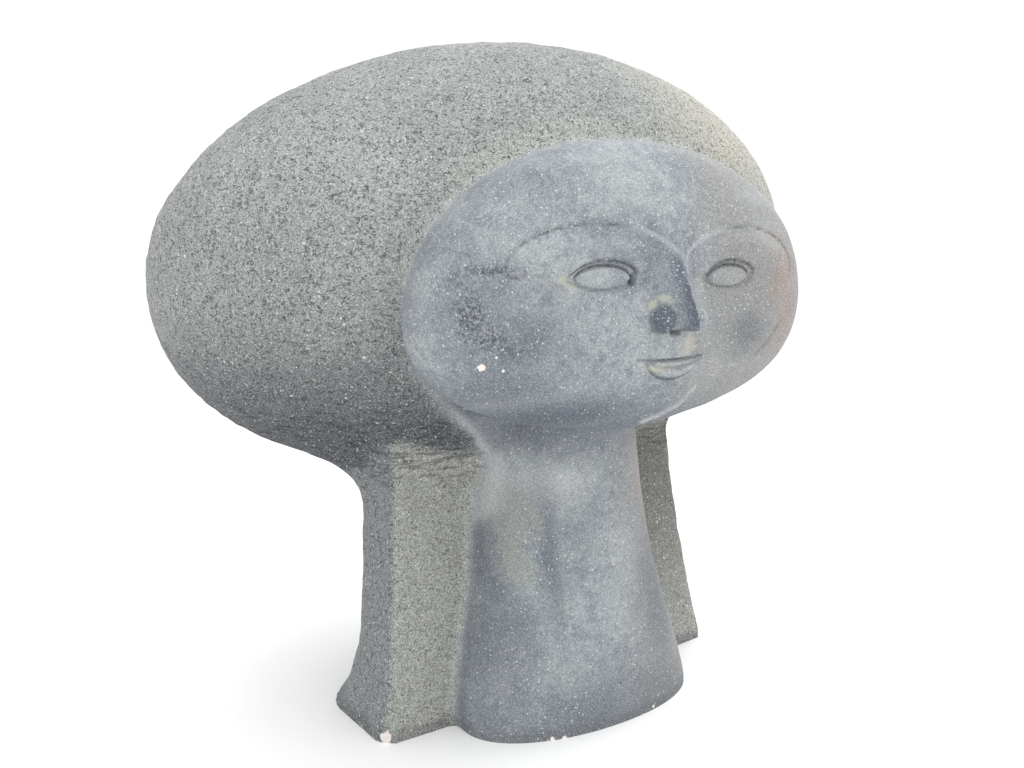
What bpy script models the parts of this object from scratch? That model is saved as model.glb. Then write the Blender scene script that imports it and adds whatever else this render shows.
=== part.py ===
"""Stylised stoneware head: a wide oval face in a large rounded hair mass, on a neck backed by a hair panel.

X runs across the face, the face looks along -Y and Z is up. The origin is on the ground under the neck.
"""
import bpy
import bmesh
import numpy as np

NAME = "stoneware_head"

# Driving size, metres. The free form keeps its proportions and carving as shares of it.
HEIGHT = 0.382

# Hair mass: a swollen ovoid whose crown leans towards the face, fuller in its lower half
HAIR_CENTRE = (0.005, 0.1085, 0.662)
HAIR_HALF_WIDTH = 0.5615
HAIR_DEPTH_FRONT = 0.326
HAIR_DEPTH_BACK = 0.339
HAIR_RISE = 1 - HAIR_CENTRE[2]
HAIR_DROP = 0.336
HAIR_LEAN = 0.244
HAIR_POWER_ABOVE = 1.96
HAIR_POWER_BELOW = 2.16

# Face: an ovoid that bulges from the hair, with the chin as a smaller one low on it
FACE_CENTRE = (0.0, -0.2035, 0.633)
FACE_HALF_WIDTH = 0.338
FACE_DEPTH = 0.115
FACE_RISE = 0.204
FACE_DROP = 0.187
FACE_TAPER_UP = -0.108
FACE_TAPER_DOWN = 0.088
FACE_LEAN = -0.0165
FACE_POWER = 2.23
CHIN_CENTRE = (0.0, -0.188, 0.526)
CHIN_RADIUS = 0.077
CHIN_STRETCH_X = 1.38
CHIN_STRETCH_Z = 0.9

# Neck: an oval column given at its foot, waist and top, tucked in where it meets the ground
NECK_WAIST_Z = 0.224
NECK_TOP_Z = 2 * NECK_WAIST_Z
NECK_HALF_WIDTH = (0.226, 0.159, 0.144)
NECK_HALF_DEPTH = (0.115, 0.142, 0.156)
NECK_MIDDLE_Y = (-0.114, -0.049, -0.006)
NECK_POWER = 2.12
NECK_END_Z = 0.6
NECK_TUCK = 0.101
NECK_TUCK_HEIGHT = 0.045

# Hair panel behind the neck, spread at the foot and turned a little about the upright
PANEL_HALF_WIDTH = 0.2645
PANEL_FOOT_HALF_WIDTH = 0.333
PANEL_NARROWING = 0.007
PANEL_FRONT_FOOT_Y = -0.066
PANEL_FRONT_TOP_Y = -0.017
PANEL_FRONT_BOW = 0.015
PANEL_BACK_Y = 0.121
PANEL_BACK_FOOT_Y = -0.018
PANEL_BACK_BULGE = 0.19
PANEL_FLARE = 0.271
PANEL_SHIFT = 0.011
PANEL_TURN = 0.023
PANEL_FOOT_TURN = 0.029
TOE_FLARE = 0.076
TOE_DEPTH = 0.125
PANEL_CORNER = 0.016
PANEL_BACK_CORNER = 0.032

# Fillets where the masses grow into each other
HAIR_TO_PANEL = 0.064
HAIR_TO_PANEL_SKEW = 0.09
FACE_TO_NECK = 0.034
SKIN_TO_HAIR = 0.015
SKIN_TO_FOOT = 0.007
CHIN_TO_FACE = 0.053

# Flake lost from the foot's corner
CHIP_RADIUS = 0.033
CHIP_OUT = (-0.014, -0.012, -0.006)
CHIP_EDGE = 0.002

# Eyes, as seen from the front: each is pointed towards -X and rounded towards +X
EYES_MIDDLE_X = -0.004
EYE_X = 0.121
EYE_Z = 0.656
EYE_HALF_WIDTH = 0.061
EYE_RISE = 0.022
EYE_DROP = 0.016
EYE_POINTED = 0.85
EYE_ROUNDED = 0.42
EYE_REACH = 1.15
EYE_SUNK = 0.004
EYE_BULGE = 0.01
EYE_LID = 0.003
EYE_CUT = 0.005
EYE_CUT_WIDTH = 0.0045

# Hollows the eyes lie in
SOCKET_X = 0.1
SOCKET_Z = 0.654
SOCKET_HALF_WIDTH = 0.085
SOCKET_HALF_HEIGHT = 0.045
SOCKET_DEPTH = 0.014

# Brow arcs
BROW_X = 0.128
BROW_Z = 0.668
BROW_HALF_WIDTH = 0.126
BROW_RISE = 0.056
BROW_TAIL = 0.3
BROW_SWELL = 0.006
BROW_SWELL_EDGE = 0.4
BROW_CUT = 0.004
BROW_CUT_WIDTH = 0.0045

# Nose with its two buttons
NOSE_TOP_Z = 0.72
NOSE_TIP_Z = 0.602
NOSE_UNDER_Z = 0.582
NOSE_UNDER_SPAN = 0.014
NOSE_TOP_HALF = 0.014
NOSE_TIP_HALF = 0.019
NOSE_RISE = 0.033
NOSE_SLOPE = 1.2
WING_X = 0.03
WING_Z = 0.602
WING_RADIUS = 0.02
WING_RISE = 0.022
WING_FILLET = 0.003

# Mouth: a flat lens of two lips with a soft parting
MOUTH_Z = 0.547
MOUTH_HALF_WIDTH = 0.06
MOUTH_LIFT = 0.006
LIPS_DROP = 0.026
LIPS_FULLNESS = 0.7
LIPS_RISE = 0.006
PARTING_AT = 0.36
PARTING_DEPTH = 0.003
PARTING_WIDTH = 0.0035
LIPS_CUT = 0.004
LIPS_CUT_WIDTH = 0.0035

# Where the carving fades out towards the hair
FACE_CARVED_FROM_Y = -0.209
FACE_CARVED_BLEND = 0.03
CARVED_HALF_WIDTH = 0.279
CARVED_FROM_Z = 0.507
CARVED_TO_Z = 0.756

# Mesh sizes
FORM_CELL = 0.0058
UNDER_GROUND = 0.06
TRIANGLES = 9400
GROUND_ROOM = 0.0003
CREASE_ANGLE = 0.9
SETTLE_ROUNDS = 6
EVENING = 0.5
PROBE = 0.0006
ROUGH_SEGMENTS = 48
ROUGH_NECK_TAPER = 0.7
TINY = 1e-9

# Fired clay
CLAY_COLOUR = (0.34, 0.37, 0.37, 1.0)
CLAY_ROUGHNESS = 0.85


def clear_scene():
    """Remove whatever the scene holds."""
    for item in list(bpy.data.objects):
        bpy.data.objects.remove(item, do_unlink=True)


def ovoid(x, y, z, half, power):
    """Rough distance to an ovoid with the given half axes."""
    scaled = [np.abs(c) / h + TINY for c, h in zip((x, y, z), half)]
    total = sum(s ** power for s in scaled)
    reach = total ** (1 / power)
    slope = [total ** (1 / power - 1) * s ** (power - 1) / h for s, h in zip(scaled, half)]
    return (reach - 1) / np.sqrt(sum(g * g for g in slope) + TINY)


def join(a, b, fillet):
    """Union of two distances with a soft fillet."""
    share = np.clip(0.5 + 0.5 * (b - a) / fillet, 0, 1)
    return b + (a - b) * share - fillet * share * (1 - share)


def meet(a, b, round_off):
    """Common part of two distances with a rounded edge."""
    return -join(-a, -b, round_off)


def ease(t):
    """Smooth step from 0 to 1."""
    t = np.clip(t, 0, 1)
    return t * t * (3 - 2 * t)


def hair(x, y, z):
    up = z - HAIR_CENTRE[2]
    back = y - HAIR_CENTRE[1] + HAIR_LEAN * up
    depth = np.where(back < 0, HAIR_DEPTH_FRONT, HAIR_DEPTH_BACK)
    height = np.where(up > 0, HAIR_RISE, HAIR_DROP)
    power = HAIR_POWER_ABOVE + (HAIR_POWER_BELOW - HAIR_POWER_ABOVE) * ease(0.5 - up / HAIR_DROP)
    return ovoid(x - HAIR_CENTRE[0], back, up, (HAIR_HALF_WIDTH, depth, height), power)


def face(x, y, z):
    up = z - FACE_CENTRE[2]
    height = np.where(up > 0, FACE_RISE, FACE_DROP)
    taper = 1 + np.where(up > 0, FACE_TAPER_UP, FACE_TAPER_DOWN) * np.abs(up) / height
    back = y - FACE_CENTRE[1] - FACE_LEAN * up / height
    oval = ovoid(x / taper, back, up, (FACE_HALF_WIDTH, FACE_DEPTH, height), FACE_POWER)
    half = (CHIN_RADIUS * CHIN_STRETCH_X, CHIN_RADIUS, CHIN_RADIUS * CHIN_STRETCH_Z)
    chin = ovoid(x, y - CHIN_CENTRE[1], z - CHIN_CENTRE[2], half, 2)
    return join(oval, chin, CHIN_TO_FACE)


def between_levels(sizes, z):
    """Smooth curve through the sizes given at the neck's three levels."""
    level = np.clip(z, 0, NECK_TOP_Z) / NECK_WAIST_Z
    foot, waist, top = sizes
    return foot * (level - 1) * (level - 2) / 2 + waist * level * (2 - level) + top * level * (level - 1) / 2


def neck(x, y, z):
    back = y - between_levels(NECK_MIDDLE_Y, z)
    tucked = 1 - NECK_TUCK * np.exp(-np.clip(z, 0, None) / NECK_TUCK_HEIGHT)
    half = (between_levels(NECK_HALF_WIDTH, z) * tucked, between_levels(NECK_HALF_DEPTH, z) * tucked, 1.0)
    return np.maximum(ovoid(x, back, 0 * z, half, NECK_POWER), z - NECK_END_Z)


def panel_outs(x, y, z):
    """Distances out of the panel's sides, front and back."""
    rise = np.clip(z, 0, None)
    flare = np.exp(-rise / PANEL_FLARE)
    across = x - PANEL_SHIFT * flare
    back_to = y - across * (PANEL_TURN + PANEL_FOOT_TURN * flare)
    half = PANEL_HALF_WIDTH + (PANEL_FOOT_HALF_WIDTH - PANEL_HALF_WIDTH) * flare
    half = half - PANEL_NARROWING * rise / NECK_TOP_Z
    front = PANEL_FRONT_FOOT_Y + (PANEL_FRONT_TOP_Y - PANEL_FRONT_FOOT_Y) * rise / NECK_TOP_Z
    front = front + PANEL_FRONT_BOW * flare * (np.abs(across) / half - 1)
    back = PANEL_BACK_Y + (PANEL_BACK_FOOT_Y - PANEL_BACK_Y) * flare + TOE_DEPTH * np.exp(-rise / TOE_FLARE)
    back = back + PANEL_BACK_BULGE * (1 - np.clip(across / half, -1, 1) ** 2)
    return np.abs(across) - half, front - back_to, back_to - back


def panel(x, y, z):
    sides, front, back = panel_outs(x, y, z)
    slab = meet(meet(sides, front, PANEL_CORNER), back, PANEL_BACK_CORNER)
    return np.maximum(slab, z - HAIR_CENTRE[2])


def chip(x, y, z):
    """Distance outside the round bite that the lost flake leaves."""
    turned = PANEL_FRONT_FOOT_Y - PANEL_FOOT_HALF_WIDTH * (PANEL_TURN + PANEL_FOOT_TURN)
    corner = (PANEL_SHIFT - PANEL_FOOT_HALF_WIDTH, turned, 0)
    away = [c - k - o for c, k, o in zip((x, y, z), corner, CHIP_OUT)]
    return CHIP_RADIUS - np.sqrt(sum(a * a for a in away))


def body(points):
    """Distance from each point, in shares of the height, to the whole blended form."""
    x, y, z = points.T
    hollow = HAIR_TO_PANEL - HAIR_TO_PANEL_SKEW * np.clip(x, -PANEL_HALF_WIDTH, PANEL_HALF_WIDTH)
    behind = join(hair(x, y, z), panel(x, y, z), hollow)
    skin = join(neck(x, y, z), face(x, y, z), FACE_TO_NECK)
    fillet = SKIN_TO_HAIR + SKIN_TO_FOOT * np.exp(-np.clip(z, 0, None) / PANEL_FLARE)
    whole = meet(join(behind, skin, fillet), chip(x, y, z), CHIP_EDGE)
    return np.maximum(whole, -z - UNDER_GROUND)


def probe(points):
    """Distance and outward direction of the blended form at each point."""
    steps = np.eye(3) * PROBE
    slope = np.stack([body(points + s) - body(points - s) for s in steps], axis=1)
    slope /= np.linalg.norm(slope, axis=1, keepdims=True) + TINY
    return body(points), slope


def hump(distance, width):
    """Rounded ridge or groove profile, 1 at its middle."""
    return np.exp(-(distance / width) ** 2)


def eyes(x, z):
    """Two blank eyes: a cut outline, a raised lid and a low rounded ball."""
    middle = EYES_MIDDLE_X + np.where(x > EYES_MIDDLE_X, EYE_X, -EYE_X)
    across = (x - middle) / EYE_HALF_WIDTH
    bow = 1 - across ** 2
    arch = np.sign(bow) * np.abs(bow) ** np.where(across > 0, EYE_ROUNDED, EYE_POINTED)
    up = z - EYE_Z
    inside = np.minimum(EYE_RISE * arch - up, EYE_DROP * arch + up)
    ball = np.clip(inside / EYE_DROP, 0, 1)
    near = ease((EYE_REACH - np.abs(across)) / (EYE_REACH - 1))
    level = np.where(inside > 0, EYE_BULGE * np.sqrt(ball) - EYE_SUNK, 0)
    cut = EYE_CUT * hump(inside, EYE_CUT_WIDTH)
    lid = EYE_LID * hump(inside + 2 * EYE_CUT_WIDTH, EYE_CUT_WIDTH) * (up > 0)
    return (level - cut + lid) * near


def sockets(x, z):
    """Soft hollows under the brows."""
    across = hump(np.abs(x) - SOCKET_X, SOCKET_HALF_WIDTH)
    return -SOCKET_DEPTH * across * hump(z - SOCKET_Z, SOCKET_HALF_HEIGHT)


def brows(x, z):
    """Cut arcs over the eyes, with the lid swelling under them."""
    across = (np.abs(x) - BROW_X) / BROW_HALF_WIDTH
    up = (z - BROW_Z) / BROW_RISE
    reach = np.sqrt(across ** 2 + up ** 2) + TINY
    away = (reach - 1) * reach / np.sqrt((across / BROW_HALF_WIDTH) ** 2 + (up / BROW_RISE) ** 2 + TINY)
    upper = ease((up + BROW_TAIL) / BROW_TAIL)
    cut = BROW_CUT * hump(away, BROW_CUT_WIDTH) * upper
    swell = BROW_SWELL * ease((1 - reach) / BROW_SWELL_EDGE) * upper
    return swell - cut


def nose(x, z):
    """A wedge that widens and rises to its tip, with a round button on each side."""
    down = np.clip((NOSE_TOP_Z - z) / (NOSE_TOP_Z - NOSE_TIP_Z), 0, 1)
    half = NOSE_TOP_HALF + (NOSE_TIP_HALF - NOSE_TOP_HALF) * down
    rise = NOSE_RISE * down ** NOSE_SLOPE
    under = ease((z - NOSE_UNDER_Z) / NOSE_UNDER_SPAN)
    ridge = rise * hump(x, half) * under
    spot = np.hypot(np.abs(x) - WING_X, z - WING_Z) / WING_RADIUS
    wing = WING_RISE * np.sqrt(np.clip(1 - spot ** 2, 0, 1))
    return -join(-ridge, -wing, WING_FILLET) - WING_FILLET / 4


def mouth(x, z):
    """Two lips in a lens-shaped outline."""
    across = np.clip(np.abs(x) / MOUTH_HALF_WIDTH, 0, 1)
    top = MOUTH_Z + MOUTH_LIFT * across ** 2
    tall = LIPS_DROP * (1 - across ** 2) ** LIPS_FULLNESS + TINY
    down = (top - z) / tall
    closed = np.sqrt(1 - across ** 2)
    lens = LIPS_RISE * np.sqrt(np.clip(4 * down * (1 - down), 0, 1))
    parting = PARTING_DEPTH * hump((down - PARTING_AT) * LIPS_DROP, PARTING_WIDTH)
    cut = LIPS_CUT * (hump(z - top, LIPS_CUT_WIDTH) + hump(z - top + tall, LIPS_CUT_WIDTH))
    return (lens - parting - cut) * closed


def carving(points):
    """Height of the carved features, to be added straight out of the surface."""
    x, y, z = points.T
    on_face = ease((FACE_CARVED_FROM_Y - y) / FACE_CARVED_BLEND)
    return (eyes(x, z) + sockets(x, z) + brows(x, z) + nose(x, z) + mouth(x, z)) * on_face


def rough_form():
    """Plain solids that overlap much as the finished masses do, in shares of the height."""
    bm = bmesh.new()
    hair_half = (HAIR_HALF_WIDTH, (HAIR_DEPTH_FRONT + HAIR_DEPTH_BACK) / 2, HAIR_RISE)
    face_half = (FACE_HALF_WIDTH, FACE_DEPTH, FACE_RISE)
    for centre, half in ((HAIR_CENTRE, hair_half), (FACE_CENTRE, face_half)):
        made = bmesh.ops.create_uvsphere(bm, u_segments=ROUGH_SEGMENTS, v_segments=ROUGH_SEGMENTS // 2,
                                            radius=1)
        bmesh.ops.scale(bm, vec=half, verts=made["verts"])
        bmesh.ops.translate(bm, vec=centre, verts=made["verts"])
    top = HAIR_CENTRE[2]
    tall = top + UNDER_GROUND
    made = bmesh.ops.create_cone(bm, cap_ends=True, segments=ROUGH_SEGMENTS, radius1=1,
                                 radius2=ROUGH_NECK_TAPER, depth=tall)
    bmesh.ops.scale(bm, vec=(NECK_HALF_WIDTH[0], NECK_HALF_DEPTH[1], 1), verts=made["verts"])
    bmesh.ops.translate(bm, vec=(0, NECK_MIDDLE_Y[0], top - tall / 2), verts=made["verts"])
    made = bmesh.ops.create_cube(bm, size=1)
    deep = PANEL_BACK_Y + PANEL_BACK_BULGE / 2 - PANEL_FRONT_FOOT_Y
    bmesh.ops.scale(bm, vec=(2 * PANEL_HALF_WIDTH, deep, tall), verts=made["verts"])
    bmesh.ops.translate(bm, vec=(0, PANEL_FRONT_FOOT_Y + deep / 2, top - tall / 2), verts=made["verts"])
    mesh = bpy.data.meshes.new("form")
    bm.to_mesh(mesh)
    bm.free()
    return mesh


def modified(mesh, kind, **settings):
    """The mesh after one modifier."""
    holder = bpy.data.objects.new("holder", mesh)
    bpy.context.scene.collection.objects.link(holder)
    step = holder.modifiers.new("step", kind)
    for name, value in settings.items():
        setattr(step, name, value)
    result = bpy.data.meshes.new_from_object(holder.evaluated_get(bpy.context.evaluated_depsgraph_get()))
    bpy.data.objects.remove(holder)
    return result


def read_points(mesh):
    flat = np.empty(len(mesh.vertices) * 3)
    mesh.vertices.foreach_get("co", flat)
    return flat.reshape(-1, 3)


def settle(mesh):
    """Move the skin onto the blended form, evening out its spacing on the way."""
    points = read_points(mesh)
    ends = np.empty(len(mesh.edges) * 2, dtype=np.int32)
    mesh.edges.foreach_get("vertices", ends)
    start, stop = ends.reshape(-1, 2).T
    links = np.bincount(start, minlength=len(points)) + np.bincount(stop, minlength=len(points))
    for turn in range(SETTLE_ROUNDS):
        near = [np.bincount(start, points[stop, k], len(points)) for k in range(3)]
        near = [n + np.bincount(stop, points[start, k], len(points)) for k, n in enumerate(near)]
        points += EVENING * (np.stack(near, axis=1) / links[:, None] - points)
        distance, outward = probe(points)
        points -= distance[:, None] * outward
    distance, outward = probe(points)
    points -= distance[:, None] * outward
    mesh.vertices.foreach_set("co", points.ravel())


def refine_face(mesh):
    """Halve the skin's cells where the features are carved."""
    bm = bmesh.new()
    bm.from_mesh(mesh)
    carved = []
    for edge in bm.edges:
        x, y, z = (edge.verts[0].co + edge.verts[1].co) / 2
        if y < FACE_CARVED_FROM_Y and abs(x) < CARVED_HALF_WIDTH and CARVED_FROM_Z < z < CARVED_TO_Z:
            carved.append(edge)
    bmesh.ops.subdivide_edges(bm, edges=carved, cuts=1, use_grid_fill=True)
    bm.to_mesh(mesh)
    bm.free()


def carve(mesh):
    """Press the carved features into the settled skin."""
    points = read_points(mesh)
    distance, outward = probe(points)
    points -= distance[:, None] * outward
    points += carving(points)[:, None] * outward
    mesh.vertices.foreach_set("co", points.ravel())


def stand(mesh):
    """Cut the skin flat at the ground, close it and bring it to size."""
    bm = bmesh.new()
    bm.from_mesh(mesh)
    everything = bm.verts[:] + bm.edges[:] + bm.faces[:]
    bmesh.ops.bisect_plane(bm, geom=everything, plane_co=(0, 0, 0), plane_no=(0, 0, -1), clear_outer=True)
    rim = [edge for edge in bm.edges if edge.is_boundary]
    bmesh.ops.edgeloop_fill(bm, edges=rim)
    bmesh.ops.triangulate(bm, faces=bm.faces[:])
    bmesh.ops.scale(bm, vec=(HEIGHT, HEIGHT, HEIGHT), verts=bm.verts[:])
    bmesh.ops.recalc_face_normals(bm, faces=bm.faces[:])
    bm.to_mesh(mesh)
    bm.free()


def level_foot(mesh):
    """Bring what lies within a hair of the ground, in metres, exactly onto it."""
    for vertex in mesh.vertices:
        if vertex.co.z < GROUND_ROOM:
            vertex.co.z = 0


def clay():
    material = bpy.data.materials.new("stoneware")
    material.use_nodes = True
    shader = material.node_tree.nodes["Principled BSDF"]
    shader.inputs["Base Color"].default_value = CLAY_COLOUR
    shader.inputs["Roughness"].default_value = CLAY_ROUGHNESS
    return material


def main():
    clear_scene()
    skin = modified(rough_form(), "REMESH", mode="VOXEL", voxel_size=2 * FORM_CELL)
    settle(skin)
    skin = modified(skin, "REMESH", mode="VOXEL", voxel_size=FORM_CELL)
    settle(skin)
    refine_face(skin)
    carve(skin)
    stand(skin)
    skin = modified(skin, "DECIMATE", ratio=TRIANGLES / len(skin.polygons))
    level_foot(skin)
    skin.name = NAME
    head = bpy.data.objects.new(NAME, skin)
    collection = bpy.data.collections.new("stylised_head")
    bpy.context.scene.collection.children.link(collection)
    collection.objects.link(head)
    skin.materials.append(clay())
    skin.shade_smooth()
    skin.set_sharp_from_angle(angle=CREASE_ANGLE)


main()
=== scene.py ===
"""Looks of the stylised stoneware head: its fired clay skin, carving, marks and colours, with light and camera.

Shares are of the head's height, as in the part's source, and the part's box in model.glb gives that height in metres.
"""
import math

import bmesh
import bpy
import numpy as np
from mathutils import Matrix, Vector, noise


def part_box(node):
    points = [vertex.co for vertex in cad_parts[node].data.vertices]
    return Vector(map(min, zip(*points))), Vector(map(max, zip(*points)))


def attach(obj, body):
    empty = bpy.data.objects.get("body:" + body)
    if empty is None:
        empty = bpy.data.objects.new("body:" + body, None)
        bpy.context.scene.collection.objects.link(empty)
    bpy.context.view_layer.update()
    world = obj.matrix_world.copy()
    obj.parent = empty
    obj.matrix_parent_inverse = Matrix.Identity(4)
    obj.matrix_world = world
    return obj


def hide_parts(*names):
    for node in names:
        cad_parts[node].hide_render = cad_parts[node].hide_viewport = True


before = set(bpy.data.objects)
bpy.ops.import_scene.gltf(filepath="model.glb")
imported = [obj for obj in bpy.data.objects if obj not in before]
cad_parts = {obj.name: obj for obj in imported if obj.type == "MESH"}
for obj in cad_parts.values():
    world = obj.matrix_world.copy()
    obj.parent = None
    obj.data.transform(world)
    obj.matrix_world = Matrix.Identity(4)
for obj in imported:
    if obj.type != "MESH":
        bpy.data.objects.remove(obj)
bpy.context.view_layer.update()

NODE = "stoneware_head"
LOW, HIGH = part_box(NODE)
HEIGHT = HIGH.z - LOW.z

# Hair mass: a swollen ovoid whose crown leans towards the face, fuller in its lower half
HAIR_CENTRE = (0.005, 0.1085, 0.662)
HAIR_HALF_WIDTH = 0.5615
HAIR_DEPTH_FRONT = 0.326
HAIR_DEPTH_BACK = 0.339
HAIR_RISE = 1 - HAIR_CENTRE[2]
HAIR_DROP = 0.336
HAIR_LEAN = 0.244
HAIR_POWER_ABOVE = 1.96
HAIR_POWER_BELOW = 2.16

# Face: an ovoid that bulges from the hair, with the chin as a smaller one low on it
FACE_CENTRE = (0.0, -0.2035, 0.633)
FACE_HALF_WIDTH = 0.338
FACE_DEPTH = 0.115
FACE_RISE = 0.204
FACE_DROP = 0.187
FACE_TAPER_UP = -0.108
FACE_TAPER_DOWN = 0.088
FACE_LEAN = -0.0165
FACE_POWER = 2.23
CHIN_CENTRE = (0.0, -0.188, 0.526)
CHIN_RADIUS = 0.077
CHIN_STRETCH_X = 1.38
CHIN_STRETCH_Z = 0.9

# Neck: an oval column given at its foot, waist and top, tucked in where it meets the ground
NECK_WAIST_Z = 0.224
NECK_TOP_Z = 2 * NECK_WAIST_Z
NECK_HALF_WIDTH = (0.226, 0.159, 0.144)
NECK_HALF_DEPTH = (0.115, 0.142, 0.156)
NECK_MIDDLE_Y = (-0.114, -0.049, -0.006)
NECK_POWER = 2.12
NECK_END_Z = 0.6
NECK_TUCK = 0.101
NECK_TUCK_HEIGHT = 0.045

# Hair panel behind the neck, spread at the foot and turned a little about the upright
PANEL_HALF_WIDTH = 0.2645
PANEL_FOOT_HALF_WIDTH = 0.333
PANEL_NARROWING = 0.007
PANEL_FRONT_FOOT_Y = -0.066
PANEL_FRONT_TOP_Y = -0.017
PANEL_FRONT_BOW = 0.015
PANEL_BACK_Y = 0.121
PANEL_BACK_FOOT_Y = -0.018
PANEL_BACK_BULGE = 0.19
PANEL_FLARE = 0.271
PANEL_SHIFT = 0.011
PANEL_TURN = 0.023
PANEL_FOOT_TURN = 0.029
TOE_FLARE = 0.076
TOE_DEPTH = 0.125
PANEL_CORNER = 0.016
PANEL_BACK_CORNER = 0.032

# Fillets where the masses grow into each other
HAIR_TO_PANEL = 0.064
HAIR_TO_PANEL_SKEW = 0.09
FACE_TO_NECK = 0.034
SKIN_TO_HAIR = 0.015
SKIN_TO_FOOT = 0.007
CHIN_TO_FACE = 0.053

# Flake lost from the foot's corner
CHIP_RADIUS = 0.033
CHIP_OUT = (-0.014, -0.012, -0.006)
CHIP_EDGE = 0.002

# Eyes, as seen from the front: each is pointed towards -X and rounded towards +X
EYES_MIDDLE_X = -0.0115
EYE_X = 0.1115
EYE_Z = 0.656
EYE_HALF_WIDTH = 0.0545
EYE_RISE = 0.0235
EYE_DROP = 0.0165
EYE_POINTED = 0.85
EYE_ROUNDED = 0.42
EYE_REACH = 1.15
EYE_SUNK = 0.0045
EYE_BULGE = 0.0075
BALL_SHIFT = 0.002
BALL_HALF_WIDTH = 0.0435
BALL_RISE = 0.0175
BALL_DROP = 0.0135
EYE_CUT = 0.0035
EYE_CUT_WIDTH = 0.0025
EYE_LOWER_SHARE = 0.12
EYE_LID = 0.0022
EYE_RIM = 0.0022
EYE_RIM_WIDTH = 0.003
TEAR_ACROSS = 0.9
TEAR_UP = -0.002
TEAR_DEPTH = 0.014
TEAR_WIDTH = 0.0025
TEAR_HEIGHT = 0.0075

# Hollows the eyes lie in
SOCKET_X = 0.1
SOCKET_Z = 0.654
SOCKET_HALF_WIDTH = 0.085
SOCKET_HALF_HEIGHT = 0.045
SOCKET_DEPTH = 0.014

# Brow arcs: a fine cut that turns into a raised rim at the inner end
BROW_X = 0.128
BROW_Z = 0.668
BROW_HALF_WIDTH = 0.126
BROW_RISE = 0.056
BROW_TAIL = 0.3
BROW_SWELL = 0.006
BROW_SWELL_EDGE = 0.4
BROW_CUT = 0.0025
BROW_CUT_WIDTH = 0.0014
BROW_RIM = 0.0022
BROW_RIM_WIDTH = 0.0028
BROW_RIM_FROM = -0.1
BROW_RIM_FULL = -0.55

# Nose with its two buttons
NOSE_TOP_Z = 0.72
NOSE_TIP_Z = 0.602
NOSE_UNDER_Z = 0.582
NOSE_UNDER_SPAN = 0.014
NOSE_TOP_HALF = 0.02
NOSE_TIP_HALF = 0.03
NOSE_CREST_X = (-0.012, 0.008)
NOSE_CREST_ROUND = 0.12
NOSE_FLANK = 1.4
NOSE_RISE = 0.034
NOSE_SLOPE = 1.2
WING_X = 0.031
WING_Z = 0.603
WING_RADIUS = 0.0185
WING_RISE = 0.021
WING_FILLET = 0.003
NOSTRIL_X = 0.004
NOSTRIL_Z = 0.587
NOSTRIL_WIDTH = 0.006
NOSTRIL_HEIGHT = 0.0042
NOSTRIL_DEPTH = 0.012

# Mouth: a flat lens of two lips with a soft parting
MOUTH_Z = 0.547
MOUTH_HALF_WIDTH = 0.06
MOUTH_LIFT = 0.004
LENS_X = 0.008
LENS_HALF_WIDTH = 0.053
LIPS_DROP = 0.026
LIPS_FULLNESS = 0.7
LIPS_RISE = 0.006
PARTING_AT = 0.36
PARTING_DEPTH = 0.0045
PARTING_WIDTH = 0.0028
UPPER_CUT = 0.0036
LOWER_CUT = 0.0028
LIP_CUT_WIDTH = 0.0018

# Chin's keel, a fine ridge from the mouth's far end to the throat, and the crease in the far cheek
CHIN_LINE = ((0.064, 0.502), (0.046, 0.48), (0.022, 0.467), (-0.004, 0.457))
CHIN_LINE_RISE = 0.0052
CHIN_LINE_WIDTH = 0.0035
CHEEK_LINE = ((0.23, 0.582), (0.212, 0.562), (0.188, 0.543))
CHEEK_LINE_DEPTH = 0.0025
CHEEK_LINE_WIDTH = 0.004
BROW_HOOK = ((-0.292, 0.663), (-0.276, 0.667), (-0.261, 0.666), (-0.244, 0.657), (-0.233, 0.662), (-0.235, 0.67))
BROW_HOOK_DEPTH = 0.002
BROW_HOOK_WIDTH = 0.0014

# Where the carving fades out towards the hair, and where the skin's cells are halved for it
FACE_CARVED_FROM_Y = -0.209
FACE_CARVED_BLEND = 0.03
FACE_REFINED = ((0.0, 0.64), (0.29, 0.135))
FEATURES_REFINED = (((-0.125, 0.66), (0.085, 0.035)), ((0.117, 0.66), (0.085, 0.035)), ((0.0, 0.57), (0.07, 0.06)))

# Mesh sizes
FORM_CELL = 0.0074
FIRST_CELL = 2 * FORM_CELL
SHARP_ANGLE = 1.1
UNDER_GROUND = 0.06
SETTLE_ROUNDS = 6
EVENING = 0.5
PROBE = 0.0006
ROUGH_SEGMENTS = 48
ROUGH_NECK_TAPER = 0.7
TINY = 1e-9


def ovoid(x, y, z, half, power):
    """Rough distance to an ovoid with the given half axes."""
    scaled = [np.abs(c) / h + TINY for c, h in zip((x, y, z), half)]
    total = sum(s ** power for s in scaled)
    reach = total ** (1 / power)
    slope = [total ** (1 / power - 1) * s ** (power - 1) / h for s, h in zip(scaled, half)]
    return (reach - 1) / np.sqrt(sum(g * g for g in slope) + TINY)


def join(a, b, fillet):
    """Union of two distances with a soft fillet."""
    share = np.clip(0.5 + 0.5 * (b - a) / fillet, 0, 1)
    return b + (a - b) * share - fillet * share * (1 - share)


def meet(a, b, round_off):
    """Common part of two distances with a rounded edge."""
    return -join(-a, -b, round_off)


def ease(t):
    """Smooth step from 0 to 1."""
    t = np.clip(t, 0, 1)
    return t * t * (3 - 2 * t)


def hump(distance, width):
    """Rounded ridge or groove profile, 1 at its middle."""
    return np.exp(-(distance / width) ** 2)


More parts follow.
